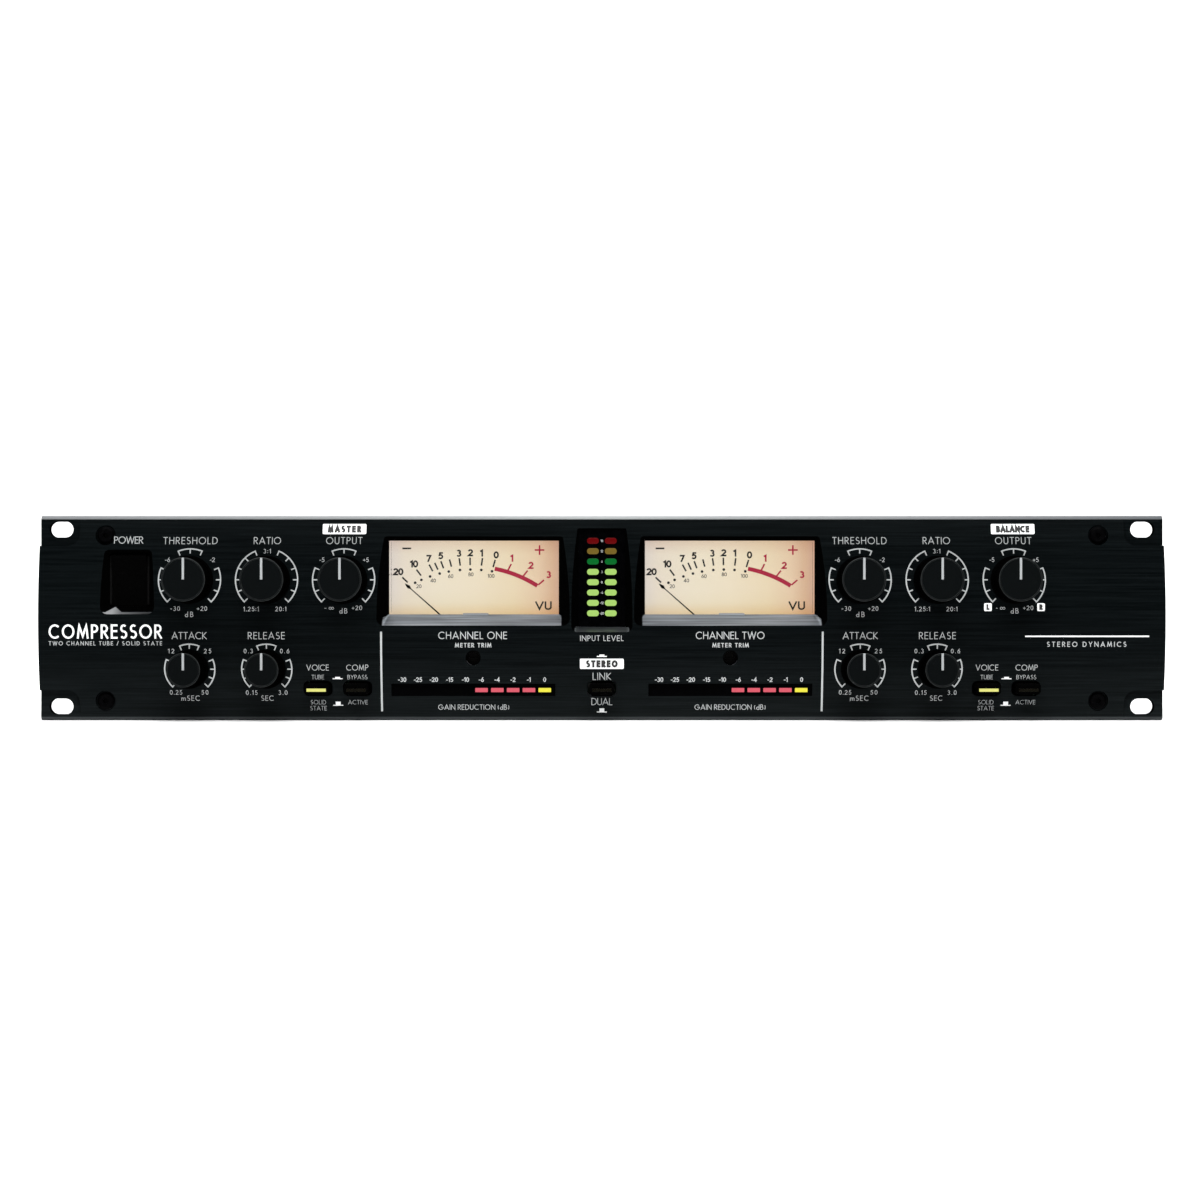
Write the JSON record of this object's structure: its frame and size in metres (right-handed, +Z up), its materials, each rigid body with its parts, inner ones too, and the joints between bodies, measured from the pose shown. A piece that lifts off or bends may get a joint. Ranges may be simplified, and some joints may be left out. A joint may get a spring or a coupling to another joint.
{
  "type": "rack compressor",
  "caption": "Two-channel rack compressor with a bowed black front panel, backlit needle meters, knobs, lit push buttons and LED displays on a steel case.",
  "frame": {"origin": "centre of the front panel's back face, the rack-mounting plane", "axes": "+Z up, front towards -Y, +X to the right seen from the front"},
  "size_m": [0.4826, 0.2294, 0.0882],
  "materials": {
    "anodised_panel": "black brushed anodising",
    "black_screws": "black oxide",
    "case_paint": "fine textured black powder coat",
    "zinc_steel": "zinc plated",
    "knob_plastic": "matt black",
    "button_plastic": "satin black",
    "light_bar_clear": "translucent",
    "meter_case": "matt black",
    "meter_glass": "clear acrylic",
    "dial_cream": "printed backlit card",
    "movement_steel": "nickel plated",
    "needle_black": "matt black",
    "trimmer_brass": "plain",
    "smoked_window": "smoked acrylic",
    "level_lamps": "lit lens",
    "reduction_lamps": "lit lens",
    "circuit_board": "solder mask",
    "capacitor_sleeve": "shrink sleeve",
    "tube_glass": "clear glass",
    "socket_ceramic": "unglazed",
    "connector_black": "moulded"
  },
  "bodies": {
    "chassis": {"front_panel": "anodised_panel", "panel_screws": "black_screws", "meter_trimmer_bodies": "meter_case", "input_level_window": "smoked_window", "input_level_leds": "level_lamps", "gain_reduction_windows": "smoked_window", "gain_reduction_leds": "reduction_lamps", "potentiometers": "meter_case", "push_switches": "meter_case", "power_switch_body": "meter_case", "chassis_tray": "case_paint", "top_cover": "case_paint", "rear_panel": "case_paint", "case_screws": "zinc_steel", "control_board": "circuit_board", "main_board": "circuit_board", "board_standoffs": "zinc_steel", "power_transformer": "movement_steel", "filter_capacitors": "capacitor_sleeve", "tube_sockets": "socket_ceramic", "vacuum_tubes": "tube_glass", "optocouplers": "meter_case", "power_inlet": "connector_black", "xlr_inputs": "connector_black", "xlr_outputs": "connector_black", "jack_sockets": "connector_black", "meter_housing_left": "meter_case", "meter_lens_left": "meter_glass", "meter_dial_left": "dial_cream", "meter_movement_left": "movement_steel", "meter_housing_right": "meter_case", "meter_lens_right": "meter_glass", "meter_dial_right": "dial_cream", "meter_movement_right": "movement_steel"},
    "threshold_knob_left": {"threshold_knob_left": "knob_plastic"},
    "ratio_knob_left": {"ratio_knob_left": "knob_plastic"},
    "output_knob_left": {"output_knob_left": "knob_plastic"},
    "threshold_knob_right": {"threshold_knob_right": "knob_plastic"},
    "ratio_knob_right": {"ratio_knob_right": "knob_plastic"},
    "output_knob_right": {"output_knob_right": "knob_plastic"},
    "attack_knob_left": {"attack_knob_left": "knob_plastic"},
    "release_knob_left": {"release_knob_left": "knob_plastic"},
    "attack_knob_right": {"attack_knob_right": "knob_plastic"},
    "release_knob_right": {"release_knob_right": "knob_plastic"},
    "voice_button_left": {"voice_button_left": "button_plastic", "voice_light_bar_left": "light_bar_clear"},
    "comp_button_left": {"comp_button_left": "button_plastic", "comp_light_bar_left": "light_bar_clear"},
    "link_button": {"link_button": "button_plastic", "link_light_bar": "light_bar_clear"},
    "voice_button_right": {"voice_button_right": "button_plastic", "voice_light_bar_right": "light_bar_clear"},
    "comp_button_right": {"comp_button_right": "button_plastic", "comp_light_bar_right": "light_bar_clear"},
    "power_rocker": {"power_rocker": "button_plastic"},
    "meter_needle_left": {"meter_needle_left": "needle_black"},
    "meter_trimmer_left": {"meter_trimmer_left": "trimmer_brass"},
    "meter_needle_right": {"meter_needle_right": "needle_black"},
    "meter_trimmer_right": {"meter_trimmer_right": "trimmer_brass"},
    "fuse_drawer": {"fuse_drawer": "connector_black"}
  },
  "joints": [
    {"name": "threshold_knob_left_turn", "type": "hinge", "parent": "chassis", "child": "threshold_knob_left", "pos_m": [-0.1766, -0.015, 0.0164], "axis": [0, 1, 0], "range_deg": [-135, 135]},
    {"name": "ratio_knob_left_turn", "type": "hinge", "parent": "chassis", "child": "ratio_knob_left", "pos_m": [-0.1436, -0.015, 0.0164], "axis": [0, 1, 0], "range_deg": [-135, 135]},
    {"name": "output_knob_left_turn", "type": "hinge", "parent": "chassis", "child": "output_knob_left", "pos_m": [-0.1106, -0.015, 0.0164], "axis": [0, 1, 0], "range_deg": [-135, 135]},
    {"name": "threshold_knob_right_turn", "type": "hinge", "parent": "chassis", "child": "threshold_knob_right", "pos_m": [0.1106, -0.015, 0.0164], "axis": [0, 1, 0], "range_deg": [-135, 135]},
    {"name": "ratio_knob_right_turn", "type": "hinge", "parent": "chassis", "child": "ratio_knob_right", "pos_m": [0.1436, -0.015, 0.0164], "axis": [0, 1, 0], "range_deg": [-135, 135]},
    {"name": "output_knob_right_turn", "type": "hinge", "parent": "chassis", "child": "output_knob_right", "pos_m": [0.1766, -0.015, 0.0164], "axis": [0, 1, 0], "range_deg": [-135, 135]},
    {"name": "attack_knob_left_turn", "type": "hinge", "parent": "chassis", "child": "attack_knob_left", "pos_m": [-0.1766, -0.015, -0.0219], "axis": [0, 1, 0], "range_deg": [-135, 135]},
    {"name": "release_knob_left_turn", "type": "hinge", "parent": "chassis", "child": "release_knob_left", "pos_m": [-0.1436, -0.015, -0.0219], "axis": [0, 1, 0], "range_deg": [-135, 135]},
    {"name": "attack_knob_right_turn", "type": "hinge", "parent": "chassis", "child": "attack_knob_right", "pos_m": [0.1106, -0.015, -0.0219], "axis": [0, 1, 0], "range_deg": [-135, 135]},
    {"name": "release_knob_right_turn", "type": "hinge", "parent": "chassis", "child": "release_knob_right", "pos_m": [0.1436, -0.015, -0.0219], "axis": [0, 1, 0], "range_deg": [-135, 135]},
    {"name": "voice_button_left_push", "type": "slide", "parent": "chassis", "child": "voice_button_left", "axis": [0, 1, 0], "range_m": [0, 0.0025], "stiffness_N_per_m": 300, "springref_m": -0.001},
    {"name": "comp_button_left_push", "type": "slide", "parent": "chassis", "child": "comp_button_left", "axis": [0, 1, 0], "range_m": [0, 0.0025], "stiffness_N_per_m": 300, "springref_m": -0.001},
    {"name": "link_button_push", "type": "slide", "parent": "chassis", "child": "link_button", "axis": [0, 1, 0], "range_m": [0, 0.0025], "stiffness_N_per_m": 300, "springref_m": -0.001},
    {"name": "voice_button_right_push", "type": "slide", "parent": "chassis", "child": "voice_button_right", "axis": [0, 1, 0], "range_m": [0, 0.0025], "stiffness_N_per_m": 300, "springref_m": -0.001},
    {"name": "comp_button_right_push", "type": "slide", "parent": "chassis", "child": "comp_button_right", "axis": [0, 1, 0], "range_m": [0, 0.0025], "stiffness_N_per_m": 300, "springref_m": -0.001},
    {"name": "power_rocker_tilt", "type": "hinge", "parent": "chassis", "child": "power_rocker", "pos_m": [-0.2032, -0.002, 0.01625], "axis": [1, 0, 0], "range_deg": [-16, 0]},
    {"name": "meter_needle_left_swing", "type": "hinge", "parent": "chassis", "child": "meter_needle_left", "pos_m": [-0.0569, 0.0042, -0.0103], "axis": [0, 1, 0], "range_deg": [0, 100], "stiffness_Nm_per_rad": 0.0001, "springref_deg": -11.46},
    {"name": "meter_trimmer_left_turn", "type": "hinge", "parent": "chassis", "child": "meter_trimmer_left", "pos_m": [-0.0551, -0.0015, -0.017], "axis": [0, 1, 0], "range_deg": [-135, 135]},
    {"name": "meter_needle_right_swing", "type": "hinge", "parent": "chassis", "child": "meter_needle_right", "pos_m": [0.0533, 0.0042, -0.0103], "axis": [0, 1, 0], "range_deg": [0, 100], "stiffness_Nm_per_rad": 0.0001, "springref_deg": -11.46},
    {"name": "meter_trimmer_right_turn", "type": "hinge", "parent": "chassis", "child": "meter_trimmer_right", "pos_m": [0.0551, -0.0015, -0.017], "axis": [0, 1, 0], "range_deg": [-135, 135]},
    {"name": "fuse_drawer_slide", "type": "slide", "parent": "chassis", "child": "fuse_drawer", "axis": [0, 1, 0], "range_m": [0, 0.02]}
  ]
}
